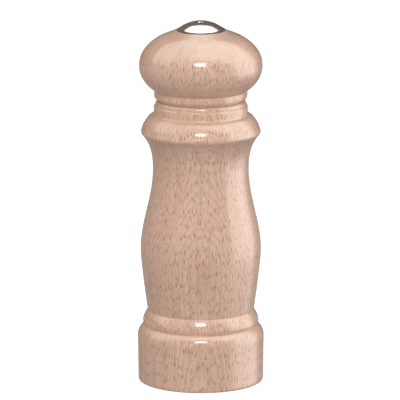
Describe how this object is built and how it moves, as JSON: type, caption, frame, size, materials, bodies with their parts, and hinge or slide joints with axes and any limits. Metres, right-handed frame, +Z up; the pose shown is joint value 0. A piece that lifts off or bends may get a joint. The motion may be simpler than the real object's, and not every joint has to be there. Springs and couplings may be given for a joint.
{
  "type": "pepper mill",
  "caption": "Hand pepper mill: turned beech body and bulb head that turns a square shaft and conical burrs, with a domed chrome nut that sets the grind.",
  "frame": {"origin": "centre of the face that the mill stands on", "axes": "+Z up along the axis that it turns about; the strap in the base lies along X"},
  "size_m": [0.0528, 0.0528, 0.1524],
  "materials": {
    "beech": "clear gloss lacquer",
    "chrome": "polished",
    "brass": "turned",
    "steel": "zinc plated",
    "screw_steel": "zinc plated",
    "spring_steel": "drawn",
    "burr_steel": "hardened",
    "shaft_aluminium": "drawn",
    "nylon": "moulded"
  },
  "bodies": {
    "mill_body": {"body": "beech", "burr_sleeve": "steel", "ring_burr": "burr_steel", "bridge": "steel", "upper_bush": "nylon", "strap": "steel", "foot_bush": "nylon", "strap_screws": "screw_steel"},
    "turning_seat": {"spring_seat": "steel", "burr_spring": "spring_steel"},
    "shaft_unit": {"drive_shaft": "shaft_aluminium", "male_burr": "burr_steel", "burr_washer": "steel", "burr_clip": "spring_steel"},
    "head_unit": {"head": "beech", "drive_plate": "steel", "drive_plate_screws": "screw_steel", "crown_washer": "steel"},
    "nut_unit": {"nut_core": "brass", "nut_shell": "chrome"}
  },
  "joints": [
    {"name": "head_turn", "type": "hinge", "parent": "mill_body", "child": "turning_seat", "pos_m": [0, 0, 0], "axis": [0, 0, 1], "continuous": true},
    {"name": "head_lift", "type": "slide", "parent": "turning_seat", "child": "head_unit", "axis": [0, 0, 1], "range_m": [0, 0.055]},
    {"name": "shaft_shift", "type": "slide", "parent": "turning_seat", "child": "shaft_unit", "axis": [0, 0, 1], "range_m": [-0.0012, 0.0004], "deforming": ["burr_spring"]},
    {"name": "nut_turn", "type": "hinge", "parent": "head_unit", "child": "nut_unit", "pos_m": [0, 0, 0.15], "axis": [0, 0, 1], "range_deg": [-180, 540]}
  ],
  "couplings": [
    {"joint": "nut_turn", "follows": "shaft_shift", "rad_per_m": -7854}
  ]
}
